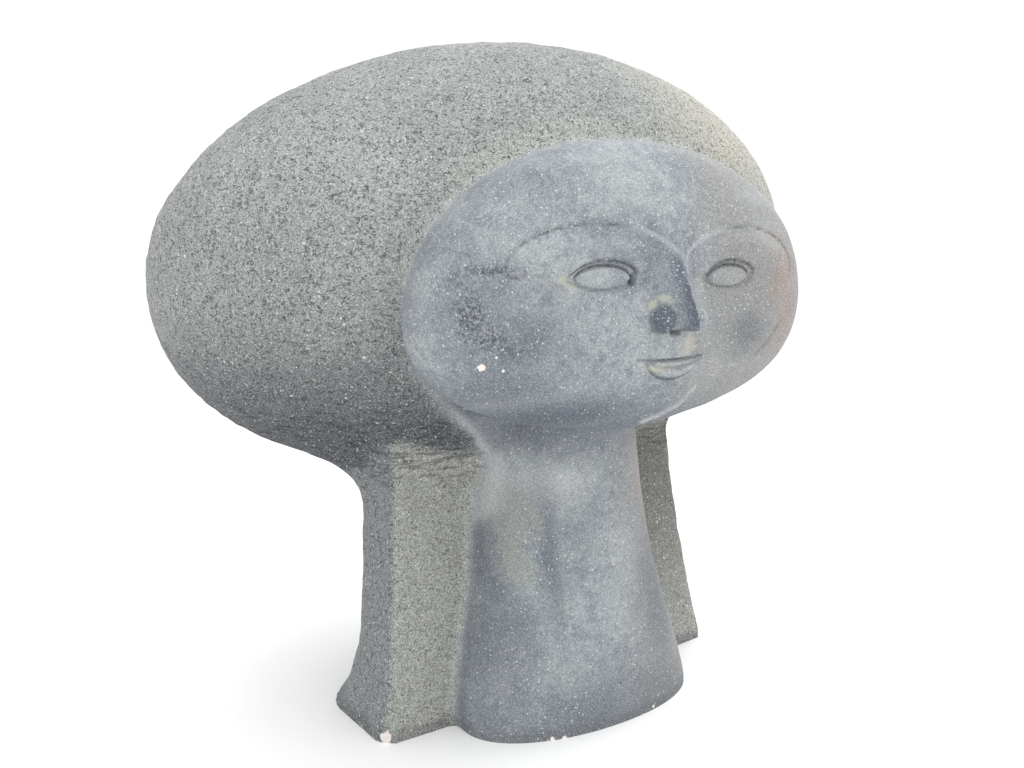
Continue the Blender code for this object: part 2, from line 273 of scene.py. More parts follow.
def hair(x, y, z):
    up = z - HAIR_CENTRE[2]
    back = y - HAIR_CENTRE[1] + HAIR_LEAN * up
    depth = np.where(back < 0, HAIR_DEPTH_FRONT, HAIR_DEPTH_BACK)
    height = np.where(up > 0, HAIR_RISE, HAIR_DROP)
    power = HAIR_POWER_ABOVE + (HAIR_POWER_BELOW - HAIR_POWER_ABOVE) * ease(0.5 - up / HAIR_DROP)
    return ovoid(x - HAIR_CENTRE[0], back, up, (HAIR_HALF_WIDTH, depth, height), power)


def face(x, y, z):
    up = z - FACE_CENTRE[2]
    height = np.where(up > 0, FACE_RISE, FACE_DROP)
    taper = 1 + np.where(up > 0, FACE_TAPER_UP, FACE_TAPER_DOWN) * np.abs(up) / height
    back = y - FACE_CENTRE[1] - FACE_LEAN * up / height
    oval = ovoid(x / taper, back, up, (FACE_HALF_WIDTH, FACE_DEPTH, height), FACE_POWER)
    half = (CHIN_RADIUS * CHIN_STRETCH_X, CHIN_RADIUS, CHIN_RADIUS * CHIN_STRETCH_Z)
    chin = ovoid(x, y - CHIN_CENTRE[1], z - CHIN_CENTRE[2], half, 2)
    return join(oval, chin, CHIN_TO_FACE)


def between_levels(sizes, z):
    """Smooth curve through the sizes given at the neck's three levels."""
    level = np.clip(z, 0, NECK_TOP_Z) / NECK_WAIST_Z
    foot, waist, top = sizes
    return foot * (level - 1) * (level - 2) / 2 + waist * level * (2 - level) + top * level * (level - 1) / 2


def neck(x, y, z):
    back = y - between_levels(NECK_MIDDLE_Y, z)
    tucked = 1 - NECK_TUCK * np.exp(-np.clip(z, 0, None) / NECK_TUCK_HEIGHT)
    half = (between_levels(NECK_HALF_WIDTH, z) * tucked, between_levels(NECK_HALF_DEPTH, z) * tucked, 1.0)
    return np.maximum(ovoid(x, back, 0 * z, half, NECK_POWER), z - NECK_END_Z)


def panel_outs(x, y, z):
    """Distances out of the panel's sides, front and back."""
    rise = np.clip(z, 0, None)
    flare = np.exp(-rise / PANEL_FLARE)
    across = x - PANEL_SHIFT * flare
    back_to = y - across * (PANEL_TURN + PANEL_FOOT_TURN * flare)
    half = PANEL_HALF_WIDTH + (PANEL_FOOT_HALF_WIDTH - PANEL_HALF_WIDTH) * flare
    half = half - PANEL_NARROWING * rise / NECK_TOP_Z
    front = PANEL_FRONT_FOOT_Y + (PANEL_FRONT_TOP_Y - PANEL_FRONT_FOOT_Y) * rise / NECK_TOP_Z
    front = front + PANEL_FRONT_BOW * flare * (np.abs(across) / half - 1)
    back = PANEL_BACK_Y + (PANEL_BACK_FOOT_Y - PANEL_BACK_Y) * flare + TOE_DEPTH * np.exp(-rise / TOE_FLARE)
    back = back + PANEL_BACK_BULGE * (1 - np.clip(across / half, -1, 1) ** 2)
    return np.abs(across) - half, front - back_to, back_to - back


def panel(x, y, z):
    sides, front, back = panel_outs(x, y, z)
    slab = meet(meet(sides, front, PANEL_CORNER), back, PANEL_BACK_CORNER)
    return np.maximum(slab, z - HAIR_CENTRE[2])


def panel_faces(x, y, z):
    """Masks of the panel's front and of its two sides, which get painted shade."""
    sides, front, back = panel_outs(x, y, z)
    own = ease(0.5 + (hair(x, y, z) - panel(x, y, z)) / PANEL_TOP_BLEND)
    ahead = ease(0.5 + (front - sides) / PANEL_CORNER_BLEND)
    return own * ahead, own * (1 - ahead)


def chip(x, y, z):
    """Distance outside the round bite that the lost flake leaves."""
    turned = PANEL_FRONT_FOOT_Y - PANEL_FOOT_HALF_WIDTH * (PANEL_TURN + PANEL_FOOT_TURN)
    corner = (PANEL_SHIFT - PANEL_FOOT_HALF_WIDTH, turned, 0)
    away = [c - k - o for c, k, o in zip((x, y, z), corner, CHIP_OUT)]
    return CHIP_RADIUS - np.sqrt(sum(a * a for a in away))


def masses(points):
    """Distances to the hair with its panel, and to the face with the neck."""
    x, y, z = points.T
    hollow = HAIR_TO_PANEL - HAIR_TO_PANEL_SKEW * np.clip(x, -PANEL_HALF_WIDTH, PANEL_HALF_WIDTH)
    behind = join(hair(x, y, z), panel(x, y, z), hollow)
    skin = join(neck(x, y, z), face(x, y, z), FACE_TO_NECK)
    return behind, skin


def body(points):
    """Distance from each point, in shares of the height, to the whole blended form."""
    behind, skin = masses(points)
    up = points[:, 2]
    fillet = SKIN_TO_HAIR + SKIN_TO_FOOT * np.exp(-np.clip(up, 0, None) / PANEL_FLARE)
    whole = meet(join(behind, skin, fillet), chip(*points.T), CHIP_EDGE)
    return np.maximum(whole, -up - UNDER_GROUND)


def probe(points):
    """Distance and outward direction of the blended form at each point."""
    steps = np.eye(3) * PROBE
    slope = np.stack([body(points + s) - body(points - s) for s in steps], axis=1)
    slope /= np.linalg.norm(slope, axis=1, keepdims=True) + TINY
    return body(points), slope


def along(x, z, line):
    """Distance from a line through the given points, as seen from the front."""
    nearest = np.full(len(x), np.inf)
    for (x0, z0), (x1, z1) in zip(line, line[1:]):
        run, climb = x1 - x0, z1 - z0
        share = np.clip(((x - x0) * run + (z - z0) * climb) / (run ** 2 + climb ** 2), 0, 1)
        nearest = np.minimum(nearest, np.hypot(x - x0 - share * run, z - z0 - share * climb))
    return nearest


def almond(x, z):
    """How far inside an eye's outline a point is, its place across the eye and its height in it."""
    middle = EYES_MIDDLE_X + np.where(x > EYES_MIDDLE_X, EYE_X, -EYE_X)
    across = (x - middle) / EYE_HALF_WIDTH
    bow = 1 - across ** 2
    arch = np.sign(bow) * np.abs(bow) ** np.where(across > 0, EYE_ROUNDED, EYE_POINTED)
    up = z - EYE_Z
    return np.minimum(EYE_RISE * arch - up, EYE_DROP * arch + up), across, up


def eyeball(x, z):
    """How far inside an eyeball's oval a point is."""
    middle = EYES_MIDDLE_X + np.where(x > EYES_MIDDLE_X, EYE_X, -EYE_X)
    bow = 1 - ((x - middle - BALL_SHIFT) / BALL_HALF_WIDTH) ** 2
    arch = np.sign(bow) * np.sqrt(np.abs(bow))
    return np.minimum(BALL_RISE * arch - (z - EYE_Z), BALL_DROP * arch + (z - EYE_Z))


def eye_grooves(x, z):
    """The groove round an eye and the groove round its ball, both deepest above, and the slot."""
    inside, across, up = almond(x, z)
    near = ease((EYE_REACH - np.abs(across)) / (EYE_REACH - 1))
    upper = EYE_LOWER_SHARE + (1 - EYE_LOWER_SHARE) * ease(0.5 + up / EYE_DROP)
    outline = hump(inside, EYE_CUT_WIDTH) * upper * near
    ring = hump(eyeball(x, z), EYE_CUT_WIDTH) * upper * near
    tear = hump((across - TEAR_ACROSS) * EYE_HALF_WIDTH, TEAR_WIDTH) * hump(up - TEAR_UP, TEAR_HEIGHT) * (x < 0)
    return outline, ring, tear


def eyes(x, z):
    """Two blank eyes: a low ball on a sunk ledge, a lid over it, a rim under it and a slot at one inner end."""
    inside, across, up = almond(x, z)
    near = ease((EYE_REACH - np.abs(across)) / (EYE_REACH - 1))
    ball = np.clip(eyeball(x, z) / BALL_DROP, 0, 1)
    outline, ring, tear = eye_grooves(x, z)
    above = ease(0.5 + up / EYE_DROP)
    level = EYE_BULGE * np.sqrt(ball) - EYE_SUNK * ease(inside / EYE_CUT_WIDTH) * (1 + above) / 2
    lid = EYE_LID * hump(inside - EYE_CUT_WIDTH, EYE_CUT_WIDTH) * above
    rim = EYE_RIM * hump(inside + EYE_RIM_WIDTH, EYE_RIM_WIDTH) * (1 - above)
    return (level + lid + rim) * near - EYE_CUT * (outline + ring) - TEAR_DEPTH * tear


def sockets(x, z):
    """Soft hollows under the brows."""
    across = hump(np.abs(x) - SOCKET_X, SOCKET_HALF_WIDTH)
    return -SOCKET_DEPTH * across * hump(z - SOCKET_Z, SOCKET_HALF_HEIGHT)


def brow_line(x, z):
    """Distance from the brow's arc, share of the arc's half sizes, and how much is cut and how much is rim."""
    across = (np.abs(x) - BROW_X) / BROW_HALF_WIDTH
    up = (z - BROW_Z) / BROW_RISE
    reach = np.sqrt(across ** 2 + up ** 2) + TINY
    away = (reach - 1) * reach / np.sqrt((across / BROW_HALF_WIDTH) ** 2 + (up / BROW_RISE) ** 2 + TINY)
    upper = ease((up + BROW_TAIL) / BROW_TAIL)
    rim = ease((BROW_RIM_FROM - across) / (BROW_RIM_FROM - BROW_RIM_FULL))
    return away, reach, upper * (1 - rim), upper * rim


def brows(x, z):
    """Arcs over the eyes, with the lid swelling under them."""
    away, reach, cut, rim = brow_line(x, z)
    swell = BROW_SWELL * ease((1 - reach) / BROW_SWELL_EDGE) * (cut + rim)
    return swell - BROW_CUT * hump(away, BROW_CUT_WIDTH) * cut + BROW_RIM * hump(away, BROW_RIM_WIDTH) * rim


def nose_place(x, z):
    """How far down the nose a point is, and how far from its crest in half widths."""
    down = np.clip((NOSE_TOP_Z - z) / (NOSE_TOP_Z - NOSE_TIP_Z), 0, 1)
    half = NOSE_TOP_HALF + (NOSE_TIP_HALF - NOSE_TOP_HALF) * down
    crest = NOSE_CREST_X[0] + (NOSE_CREST_X[1] - NOSE_CREST_X[0]) * down
    return down, (x - crest) / half


def wing_place(x, z):
    """Distance from the middle of a wing of the nose, in its radius."""
    return np.hypot(np.abs(x) - WING_X, z - WING_Z) / WING_RADIUS


def nostrils(x, z):
    return hump(np.abs(x) - NOSTRIL_X, NOSTRIL_WIDTH) * hump(z - NOSTRIL_Z, NOSTRIL_HEIGHT)


def nose(x, z):
    """A wedge that widens and rises to its tip, with a round button on each side and a nostril by each."""
    down, away = nose_place(x, z)
    under = ease((z - NOSE_UNDER_Z) / NOSE_UNDER_SPAN)
    tent = np.sqrt(away ** 2 + NOSE_CREST_ROUND ** 2) - NOSE_CREST_ROUND
    ridge = NOSE_RISE * down ** NOSE_SLOPE * np.clip(1 - tent, 0, 1) ** NOSE_FLANK * under
    wing = WING_RISE * np.sqrt(np.clip(1 - wing_place(x, z) ** 2, 0, 1))
    # A join of two equal heights swells by a quarter of its fillet
    return -join(-ridge, -wing, WING_FILLET) - WING_FILLET / 4 - NOSTRIL_DEPTH * nostrils(x, z)


def lips(x, z):
    """Place across the mouth, share of the way down the lips and distances under the upper and lower edges."""
    top = MOUTH_Z + MOUTH_LIFT * np.clip(x / MOUTH_HALF_WIDTH, -1, 1) ** 2
    across = np.clip(np.abs(x - LENS_X) / LENS_HALF_WIDTH, 0, 1)
    tall = LIPS_DROP * (1 - across ** 2) ** LIPS_FULLNESS + TINY
    return across, (top - z) / tall, top - z, z - (top - tall)


def lip_parting(across, down):
    return hump((down - PARTING_AT) * LIPS_DROP, PARTING_WIDTH) * np.sqrt(1 - across ** 2)


def mouth(x, z):
    """Two lips in a lens-shaped outline."""
    across, down, under_top, over_bottom = lips(x, z)
    closed = np.sqrt(1 - across ** 2)
    arched = np.sqrt(np.clip(4 * down * (1 - down), 0, 1))
    lens = LIPS_RISE * arched * closed
    parting = PARTING_DEPTH * lip_parting(across, down)
    ends = np.sqrt(1 - np.clip(np.abs(x) / MOUTH_HALF_WIDTH, 0, 1) ** 2)
    upper = UPPER_CUT * hump(under_top, LIP_CUT_WIDTH) * ends
    return lens - parting - upper - LOWER_CUT * hump(over_bottom, LIP_CUT_WIDTH) * closed


def lines(x, z):
    """The chin's fine ridge, the far cheek's crease and the crack at the near brow's outer end."""
    chin_line = CHIN_LINE_RISE * hump(along(x, z, CHIN_LINE), CHIN_LINE_WIDTH)
    cheek_line = CHEEK_LINE_DEPTH * hump(along(x, z, CHEEK_LINE), CHEEK_LINE_WIDTH)
    hook = BROW_HOOK_DEPTH * hump(along(x, z, BROW_HOOK), BROW_HOOK_WIDTH)
    return chin_line - cheek_line - hook


def carving(points):
    """Height of the carved features, to be added straight out of the surface."""
    x, y, z = points.T
    on_face = ease((FACE_CARVED_FROM_Y - y) / FACE_CARVED_BLEND)
    return (eyes(x, z) + sockets(x, z) + brows(x, z) + nose(x, z) + mouth(x, z) + lines(x, z)) * on_face


def rough_form():
    """Plain solids that overlap much as the finished masses do, in shares of the height."""
    bm = bmesh.new()
    hair_half = (HAIR_HALF_WIDTH, (HAIR_DEPTH_FRONT + HAIR_DEPTH_BACK) / 2, HAIR_RISE)
    face_half = (FACE_HALF_WIDTH, FACE_DEPTH, FACE_RISE)
    for centre, half in ((HAIR_CENTRE, hair_half), (FACE_CENTRE, face_half)):
        made = bmesh.ops.create_uvsphere(bm, u_segments=ROUGH_SEGMENTS, v_segments=ROUGH_SEGMENTS // 2, radius=1)
        bmesh.ops.scale(bm, vec=half, verts=made["verts"])
        bmesh.ops.translate(bm, vec=centre, verts=made["verts"])
    top = HAIR_CENTRE[2]
    tall = top + UNDER_GROUND
    made = bmesh.ops.create_cone(bm, cap_ends=True, segments=ROUGH_SEGMENTS, radius1=1,
                                 radius2=ROUGH_NECK_TAPER, depth=tall)
    bmesh.ops.scale(bm, vec=(NECK_HALF_WIDTH[0], NECK_HALF_DEPTH[1], 1), verts=made["verts"])
    bmesh.ops.translate(bm, vec=(0, NECK_MIDDLE_Y[0], top - tall / 2), verts=made["verts"])
    made = bmesh.ops.create_cube(bm, size=1)
    deep = PANEL_BACK_Y + PANEL_BACK_BULGE / 2 - PANEL_FRONT_FOOT_Y
    bmesh.ops.scale(bm, vec=(2 * PANEL_HALF_WIDTH, deep, tall), verts=made["verts"])
    bmesh.ops.translate(bm, vec=(0, PANEL_FRONT_FOOT_Y + deep / 2, top - tall / 2), verts=made["verts"])
    mesh = bpy.data.meshes.new("form")
    bm.to_mesh(mesh)
    bm.free()
    return mesh


def remeshed(mesh, cell):
    """The mesh as an even skin of small cells."""
    holder = bpy.data.objects.new("holder", mesh)
    bpy.context.scene.collection.objects.link(holder)
    step = holder.modifiers.new("step", "REMESH")
    step.mode = "VOXEL"
    step.voxel_size = cell
    result = bpy.data.meshes.new_from_object(holder.evaluated_get(bpy.context.evaluated_depsgraph_get()))
    bpy.data.objects.remove(holder)
    return result


def read_points(mesh):
    flat = np.empty(len(mesh.vertices) * 3)
    mesh.vertices.foreach_get("co", flat)
    return flat.reshape(-1, 3)


def settle(mesh):
    """Move the skin onto the blended form, evening out its spacing on the way."""
    points = read_points(mesh)
    ends = np.empty(len(mesh.edges) * 2, dtype=np.int32)
    mesh.edges.foreach_get("vertices", ends)
    start, stop = ends.reshape(-1, 2).T
    links = np.bincount(start, minlength=len(points)) + np.bincount(stop, minlength=len(points))
    for turn in range(SETTLE_ROUNDS):
        near = [np.bincount(start, points[stop, k], len(points)) for k in range(3)]
        near = [n + np.bincount(stop, points[start, k], len(points)) for k, n in enumerate(near)]
        points += EVENING * (np.stack(near, axis=1) / links[:, None] - points)
        distance, outward = probe(points)
        points -= distance[:, None] * outward
    distance, outward = probe(points)
    points -= distance[:, None] * outward
    mesh.vertices.foreach_set("co", points.ravel())


def halve_cells(mesh, patches):
    """Halve the face's cells inside oval patches, each a centre and half sizes seen from the front."""
    bm = bmesh.new()
    bm.from_mesh(mesh)
    chosen = []
    for edge in bm.edges:
        x, y, z = (edge.verts[0].co + edge.verts[1].co) / 2
        spots = [((x - c[0]) / h[0]) ** 2 + ((z - c[1]) / h[1]) ** 2 for c, h in patches]
        if y < FACE_CARVED_FROM_Y and min(spots) < 1:
            chosen.append(edge)
    bmesh.ops.subdivide_edges(bm, edges=chosen, cuts=1, use_grid_fill=True)
    bm.to_mesh(mesh)
    bm.free()


# Hand work and firing: feature size and height in metres, and octaves
LUMPS = (0.02, 0.0006, 3)
TORN = (0.0075, 0.0005, 2)
TORN_STRETCH = (0.7, 0.7, 1.4)
WAVES = (0.03, 0.0005, 2)
OCTAVE_FALL = 1.0
OCTAVE_STEP = 2.0


def fractal(points, size, height, octaves):
    """Smooth relief of a given feature size and height at points in metres."""
    return height * np.array([noise.fractal(Vector(p / size), OCTAVE_FALL, OCTAVE_STEP, octaves) for p in points])


def surface_relief(points, hair_share):
    """Lumps and torn clay on the hair and faint waves on the rubbed skin, in metres."""
    rough = fractal(points, *LUMPS) + fractal(points * np.array(TORN_STRETCH), *TORN)
    return rough * hair_share + fractal(points, *WAVES) * (1 - hair_share)


def add_attribute(mesh, name, values):
    layer = mesh.attributes.new(name, "FLOAT", "POINT")
    layer.data.foreach_set("value", values.astype(np.float32))


# Width over which rough hair turns to smooth skin, and the line that the hair ends on under the cheeks, as half
# width and height. Above HAIR_END_OVER_HAIR_Z the skin only runs out over the hair, and up to HAIR_RIDGE_TOP
# the line is raised, with a paler strip beside it
HAIR_EDGE = 0.011
HAIR_END_LINE = ((0.16, 0.26), (0.14, 0.36), (0.14, 0.395), (0.165, 0.425), (0.245, 0.488), (0.29, 0.53),
                 (0.335, 0.63))
HAIR_END_LOW = 0.27
HAIR_END_HIGH = 0.6
HAIR_END_FADE = 0.045
HAIR_END_FROM_Y = 0.03
HAIR_END_OVER_HAIR_Z = 0.41
HAIR_RIDGE_TOP = 0.5
HAIR_END_RIDGE = 0.005
HAIR_END_WIDTH = 0.008
HAIR_END_PALE = 0.5
SEAM_WIDTH = 0.012

# Where the hair's lower part, with painted shade and darker clay, begins, fades and ends at the panel, and where it
# is dragged sideways
LOW_HAIR_TOP = 0.66
LOW_HAIR_BLEND = 0.25
LOW_HAIR_END = 0.33
LOW_HAIR_END_BLEND = 0.05
PANEL_TOP_BLEND = 0.04
PANEL_CORNER_BLEND = 0.012
DRAGGED_FROM_Z = 0.54
DRAGGED_BLEND = 0.12

# Colour marks seen from the front: place across and up, half sizes across and up, and strength
# Shade marks are partly painted shade, under the jaw and chin, on the neck beside the panel and along the foot, and
# partly darker patches of the clay on the cheeks and brows
SHADE_MARKS = (
    (-0.28, 0.63, 0.055, 0.06, 0.45), (-0.31, 0.7, 0.035, 0.05, 0.35), (-0.235, 0.515, 0.09, 0.04, 0.7),
    (-0.15, 0.476, 0.14, 0.034, 1.1), (-0.225, 0.58, 0.06, 0.045, 0.7), (-0.04, 0.495, 0.07, 0.025, 0.4),
    (-0.05, 0.7, 0.03, 0.035, 0.35), (0.15, 0.578, 0.045, 0.032, 0.7), (-0.23, 0.775, 0.07, 0.03, 0.4),
    (-0.13, 0.72, 0.06, 0.01, 0.3), (-0.09, 0.25, 0.016, 0.12, 0.7), (-0.165, 0.12, 0.05, 0.085, 0.6),
    (-0.15, 0.235, 0.014, 0.08, 0.6), (-0.05, 0.27, 0.03, 0.05, 0.35), (0.11, 0.17, 0.06, 0.13, 0.75),
    (0.0, 0.03, 0.25, 0.06, 0.6), (-0.03, 0.445, 0.25, 0.04, 0.8))
SOOT_MARKS = (
    (-0.293, 0.612, 0.016, 0.03, 1.0), (-0.272, 0.588, 0.022, 0.018, 0.9), (-0.305, 0.655, 0.02, 0.02, 0.5),
    (-0.245, 0.57, 0.03, 0.012, 0.5), (-0.275, 0.667, 0.04, 0.009, 0.8))
# Pale patches of the clay; the two on the far brow, at 0.17 and 0.19 across, are painted light
PALE_MARKS = (
    (-0.09, 0.77, 0.08, 0.04, 0.7), (-0.236, 0.685, 0.03, 0.02, 0.5), (-0.125, 0.6, 0.07, 0.02, 0.4),
    (-0.14, 0.698, 0.05, 0.008, 0.6), (-0.12, 0.51, 0.04, 0.02, 0.3), (-0.33, 0.64, 0.012, 0.07, 0.5),
    (-0.069, 0.362, 0.055, 0.036, 1.7), (0.03, 0.26, 0.05, 0.07, 0.4), (-0.07, 0.085, 0.06, 0.05, 0.5),
    (-0.068, 0.19, 0.04, 0.03, 0.4), (0.01, 0.158, 0.03, 0.02, 0.5), (0.042, 0.64, 0.012, 0.05, 0.8),
    (0.17, 0.765, 0.06, 0.012, 0.6), (0.09, 0.535, 0.02, 0.03, 0.3),
    (0.02, 0.536, 0.035, 0.007, 0.9), (0.19, 0.715, 0.045, 0.03, 0.5), (0.005, 0.5425, 0.045, 0.003, 0.9),
    (-0.123, 0.656, 0.035, 0.014, 0.8), (0.1, 0.656, 0.035, 0.014, 0.5))
OLIVE_MARKS = (
    (-0.125, 0.31, 0.024, 0.05, 1.0), (-0.128, 0.245, 0.018, 0.035, 1.0), (-0.104, 0.306, 0.01, 0.03, 0.9))
CREAM_MARKS = (
    (-0.182, 0.656, 0.01, 0.007, 0.9), (-0.171, 0.648, 0.011, 0.005, 0.7), (-0.15, 0.644, 0.03, 0.0025, 0.4),
    (-0.043, 0.622, 0.008, 0.009, 0.9), (-0.028, 0.63, 0.012, 0.006, 0.9),
    (0.028, 0.566, 0.013, 0.017, 0.9), (-0.039, 0.583, 0.006, 0.012, 0.6), (-0.022, 0.537, 0.022, 0.005, 1.0))
PINK_MARKS = (
    (0.23, 0.655, 0.045, 0.045, 1.0), (0.25, 0.6, 0.04, 0.055, 0.9), (0.215, 0.71, 0.03, 0.02, 0.4),
    (0.09, 0.34, 0.03, 0.06, 0.4), (0.1, 0.28, 0.02, 0.08, 0.3))
WARM_FROM_X = -0.01
WARM_SPAN = 0.1

# Painted shade on the near plane of the nose, full short of its crest, and on the near wing
NOSE_DARK_FROM_Z = 0.7
NOSE_DARK_BLEND = 0.03
SHADE_AT_CREST = 1.2
SHADE_FADE = 1.6
WING_DARK_REACH = 1.1
WING_DARK_EDGE = 0.2

# Painted light, in a creamier tint, on the hair's upper far side and on the hair beside the face's near side; painted
# shade, with browner clay, on the panel's far part; and the pale far seam
FAR_TOP_FROM_X = 0.0
FAR_TOP_SPAN = 0.25
# Painted light on the hair beside the face's near side
NEAR_LIT = (-0.34, 0.76)
NEAR_LIT_REACH = 0.12
# Painted shade on the panel's far front, with browner clay
FAR_PANEL_SPAN = 0.1
FAR_PANEL_FROM_Z = -0.04
FAR_PANEL_RISE = 0.4
SEAM_PALE_FROM_X = 0.05
SEAM_PALE_FROM_Z = 0.68
SEAM_PALE_BLEND = 0.05
SEAM_PALE_LEAST = 0.2

# Rubbed hair over the brow
RUBBED_X = -0.14
RUBBED_HALF_X = 0.17
RUBBED_WIDTH = 0.04
RUBBED_FROM_Z = 0.74
RUBBED_BLEND = 0.03

# How much painted shade each carved line gets, and how much painted highlight the brow's rim gets
OUTLINE_DARK = 1.2
RING_DARK = 0.75
TEAR_DARK = 1.5
BROW_CUT_DARK = 0.7
UPPER_CUT_DARK = 0.7
LOWER_CUT_DARK = 0.6
PARTING_DARK = 0.5
HOOK_DARK = 0.8
CHEEK_LINE_DARK = 0.3
BROW_RIM_HIGHLIGHT = 0.6

# Places where a flake or grain is lost down to the pale clay, each with its radius
WHITE_SPOTS = (
    ((-0.273, -0.261, 0.55), 0.0055), ((-0.248, -0.27, 0.545), 0.003), ((-0.259, -0.271, 0.563), 0.002),
    ((-0.316, -0.076, 0.008), 0.011), ((-0.115, -0.202, 0.002), 0.004), ((-0.097, -0.208, 0.0), 0.0055),
    ((0.279, -0.079, 0.014), 0.004), ((0.07, -0.212, 0.005), 0.003), ((-0.391, -0.01, 0.893), 0.003),
    ((-0.436, 0.047, 0.87), 0.003), ((-0.438, 0.017, 0.865), 0.0025), ((-0.524, 0.036, 0.562), 0.003))
SPOT_EDGE = (0.8, 1.0)
SPOT_FRAY = 0.9
FOOT_BAND_Z = 0.016
FOOT_DARK_REACH = 1.5
MARKS_FROM_Y = -0.02


def ovals(x, y, z, marks):
    """Strength of the soft oval marks on the side that the face is on."""
    total = np.zeros(len(x))
    for across, up, half_across, half_up, strength in marks:
        total = np.maximum(total, strength * np.exp(-((x - across) / half_across) ** 2 - ((z - up) / half_up) ** 2))
    return total * (y < MARKS_FROM_Y)


def hair_end(points):
    """How far each point lies past the skin's edge into the hair, and how far that edge is a raised line there."""
    behind, skin = masses(points)
    x, y, z = points.T
    at_end = ease((z - HAIR_END_LOW) / HAIR_END_FADE) * ease((HAIR_END_HIGH - z) / HAIR_END_FADE)
    at_end = at_end * ease((HAIR_END_FROM_Y - y) / HAIR_END_FROM_Y)
    ends, levels = zip(*HAIR_END_LINE)
    natural = skin - behind
    past_end = natural + (np.abs(x) - np.interp(z, levels, ends) - natural) * at_end
    past_end = np.where(z > HAIR_END_OVER_HAIR_Z, np.minimum(past_end, natural), past_end)
    return past_end, at_end * ease((HAIR_RIDGE_TOP - z) / HAIR_END_FADE)


def line_marks(x, z):
    """How much painted shade the carved lines get, and how much painted highlight their raised rims get."""
    outline, ring, tear = eye_grooves(x, z)
    away, _, cut, rim = brow_line(x, z)
    across, down, under_top, over_bottom = lips(x, z)
    # Painted shade in the carved lines, the slot and the nostrils
    grooves = np.maximum.reduce([
        OUTLINE_DARK * outline, RING_DARK * ring, TEAR_DARK * tear, nostrils(x, z),
        BROW_CUT_DARK * hump(away, BROW_CUT_WIDTH) * cut,
        UPPER_CUT_DARK * hump(under_top, LIP_CUT_WIDTH) * (np.abs(x) < MOUTH_HALF_WIDTH),
        LOWER_CUT_DARK * hump(over_bottom, LIP_CUT_WIDTH) * (across < 1),
        PARTING_DARK * lip_parting(across, down),
        HOOK_DARK * hump(along(x, z, BROW_HOOK), BROW_HOOK_WIDTH),
        CHEEK_LINE_DARK * hump(along(x, z, CHEEK_LINE), CHEEK_LINE_WIDTH)])
    # Painted highlight on the brow's raised rim and along the chin's keel
    brow_rim = BROW_RIM_HIGHLIGHT * hump(away, BROW_RIM_WIDTH) * rim
    return grooves, np.maximum(brow_rim, hump(along(x, z, CHIN_LINE), CHIN_LINE_WIDTH))


def nose_marks(x, z):
    """Painted shade on the near side of the nose and on its near wing, and where either wing is."""
    _, from_crest = nose_place(x, z)
    near_side = ease(SHADE_AT_CREST + SHADE_FADE * from_crest) * (from_crest < 0)
    near_side = near_side * ease((NOSE_DARK_FROM_Z - z) / NOSE_DARK_BLEND)
    near_side = near_side * ease((z - NOSE_UNDER_Z) / NOSE_UNDER_SPAN)
    on_wing = ease((WING_DARK_REACH - wing_place(x, z)) / WING_DARK_EDGE)
    return np.maximum(near_side, on_wing * (x < 0)), on_wing


def hair_marks(x, y, z, hair_share, past_end, at_ridge):
    """Where the hair, its panel and its edge change colour, with painted light on the upper hair and painted shade
    low on the hair and on the panel.
    """
    panel_front, panel_side_shade = panel_faces(x, y, z)
    above_panel = ease((z - LOW_HAIR_END) / LOW_HAIR_END_BLEND)
    far_top_lit_cream = ease((x - FAR_TOP_FROM_X) / FAR_TOP_SPAN) * ease((z - FACE_CENTRE[2]) / FAR_TOP_SPAN)
    far_panel_brown_and_shade = ease(x / FAR_PANEL_SPAN) * ease((z - FAR_PANEL_FROM_Z) / FAR_PANEL_RISE)
    rubbed = hump(past_end - RUBBED_WIDTH / 2, RUBBED_WIDTH / 2) * hump(x - RUBBED_X, RUBBED_HALF_X)
    far_rim = ease((x - SEAM_PALE_FROM_X) / WARM_SPAN) * ease((z - SEAM_PALE_FROM_Z) / SEAM_PALE_BLEND)
    far_seam = hump(past_end, SEAM_WIDTH) * (SEAM_PALE_LEAST + (1 - SEAM_PALE_LEAST) * far_rim)
    strip = hump(past_end + HAIR_END_WIDTH, HAIR_END_WIDTH) * at_ridge
    return {
        "low_hair_dark_and_shade": ease((LOW_HAIR_TOP - z) / LOW_HAIR_BLEND) * above_panel * (1 - panel_front),
        "dragged": ease((DRAGGED_FROM_Z - z) / DRAGGED_BLEND) * above_panel * hair_share,
        "panel_front": panel_front * hair_share,
        "panel_side_shade": panel_side_shade * hair_share,
        "far_panel_brown_and_shade": panel_front * far_panel_brown_and_shade,
        "far_top_lit_cream": far_top_lit_cream,
        "near_hair_lit": hump(np.hypot(x - NEAR_LIT[0], z - NEAR_LIT[1]), NEAR_LIT_REACH),
        "rubbed": rubbed * ease((z - RUBBED_FROM_Z) / RUBBED_BLEND),
        "seam": np.maximum(far_seam, strip * HAIR_END_PALE)}


def skin_marks(x, y, z, smooth):
    """Where the face and the neck change colour, with painted shade and painted highlights among the marks, smooth
    being 1 on the skin.
    """
    on_face = ease((FACE_CARVED_FROM_Y - y) / FACE_CARVED_BLEND)
    grooves, rim_highlights = line_marks(x, z)
    nose_shade, on_wing = nose_marks(x, z)
    return {
        "grooves": grooves * on_face,
        "rim_highlights": rim_highlights * on_face,
        "nose_shade": nose_shade * on_face,
        "cream": ovals(x, y, z, CREAM_MARKS) * (1 - on_wing) * on_face,
        "shade": ovals(x, y, z, SHADE_MARKS) * smooth,
        "soot": ovals(x, y, z, SOOT_MARKS) * smooth,
        "pale": ovals(x, y, z, PALE_MARKS) * smooth,
        "olive": ovals(x, y, z, OLIVE_MARKS) * smooth,
        "pink": ovals(x, y, z, PINK_MARKS) * smooth,
        "warm": ease((x - WARM_FROM_X) / WARM_SPAN) * smooth}


